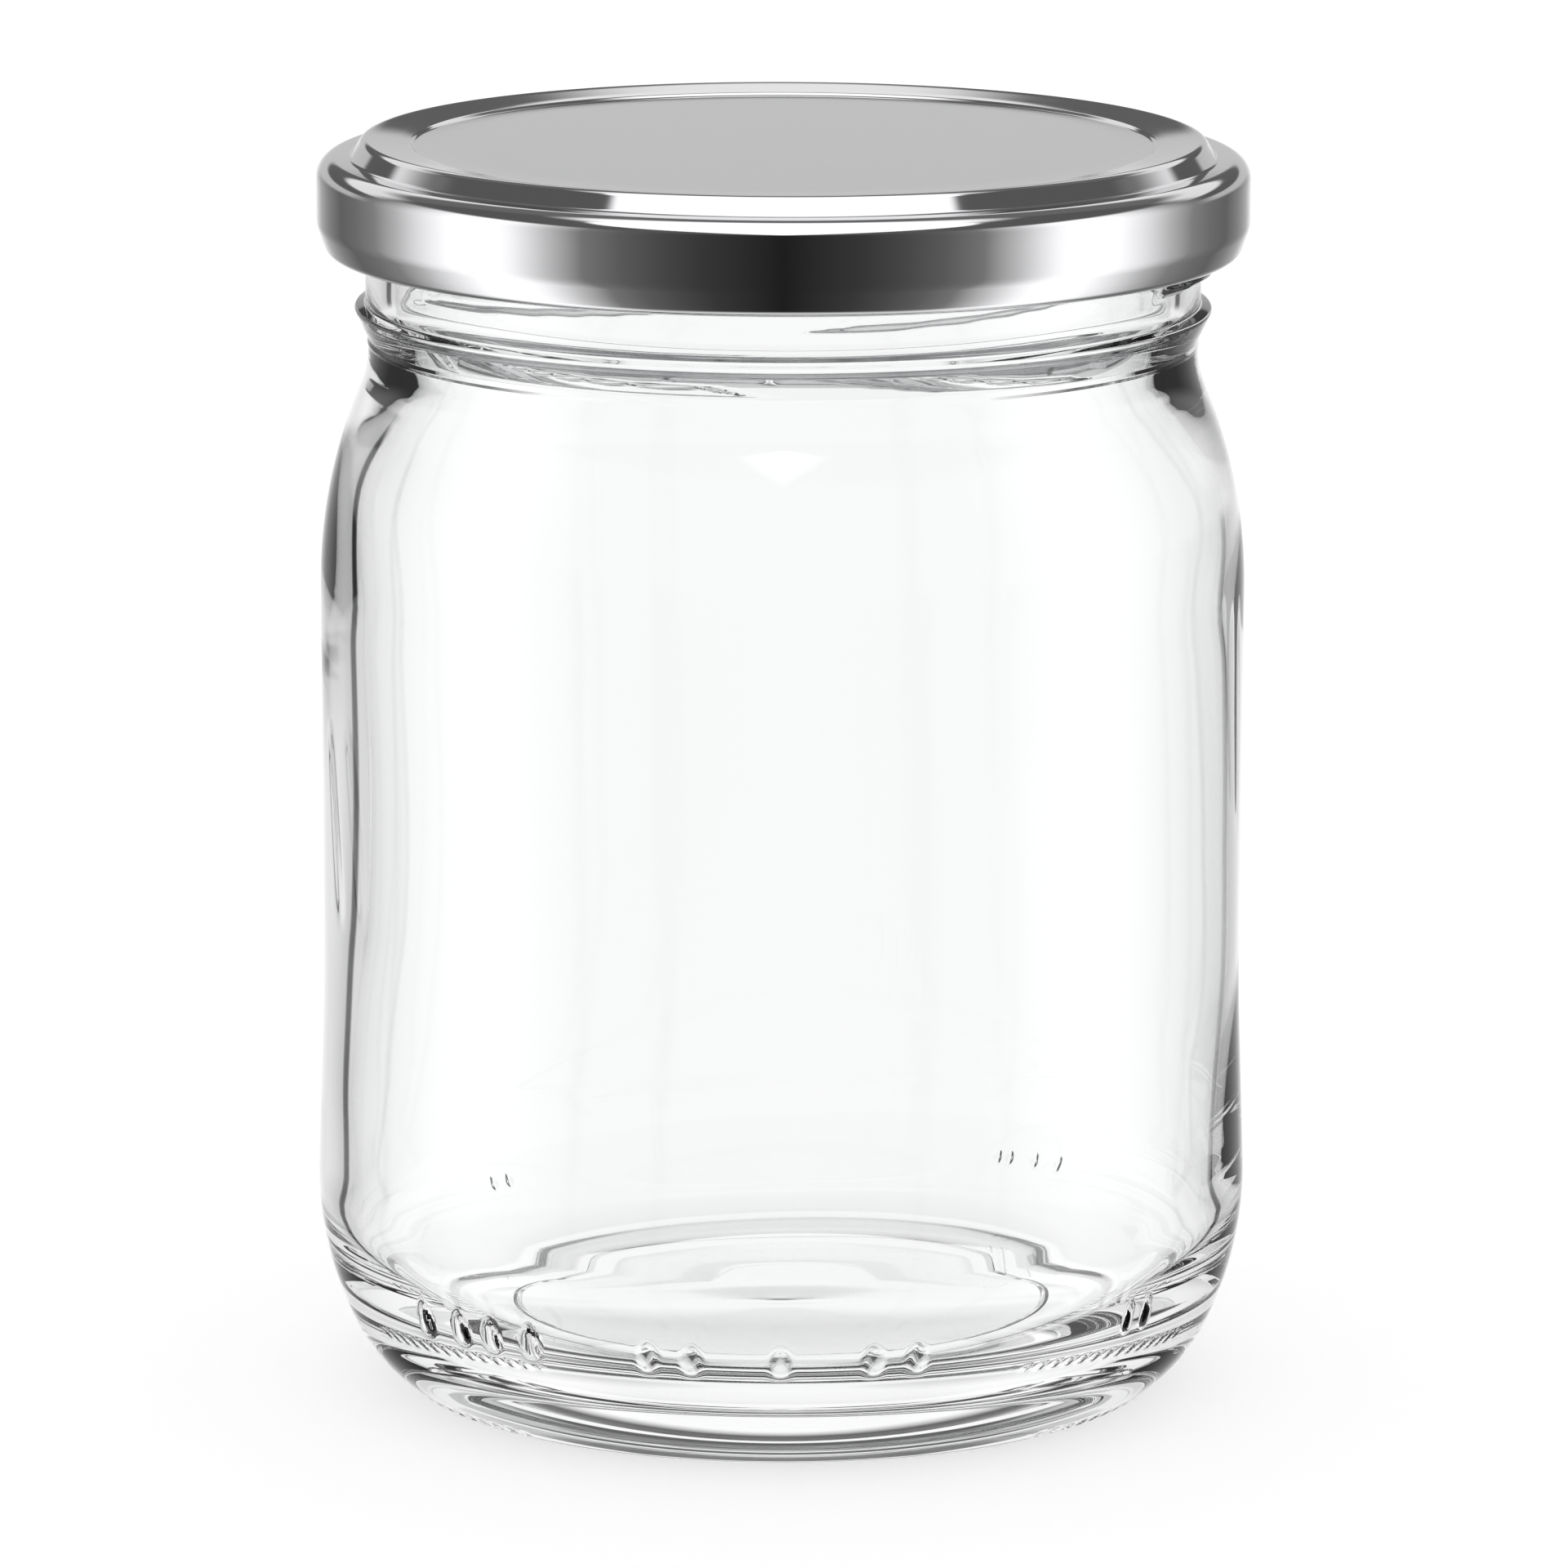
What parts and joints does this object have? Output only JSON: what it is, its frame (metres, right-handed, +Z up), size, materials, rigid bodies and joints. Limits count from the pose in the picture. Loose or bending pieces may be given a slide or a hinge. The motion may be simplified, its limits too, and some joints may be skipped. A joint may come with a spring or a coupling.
{
  "type": "canning jar",
  "caption": "Clear glass canning jar with a rounded shoulder, beaded neck and threaded mouth, closed by a pressed silver tinplate twist-off lid. Empty.",
  "frame": {"origin": "centre of the jar's base, on the plane it stands on", "axes": "+Z up along the jar's axis, -Y to the front, +X to the right of someone looking at the front"},
  "size_m": [0.0856, 0.0856, 0.1155],
  "materials": {
    "glass": "clear colourless flint glass, fire polished, with small raised mould marks",
    "tinplate": "plain silver lacquered tinplate, satin to bright"
  },
  "bodies": {
    "root": {"jar": "glass", "lid": "tinplate"}
  },
  "joints": []
}
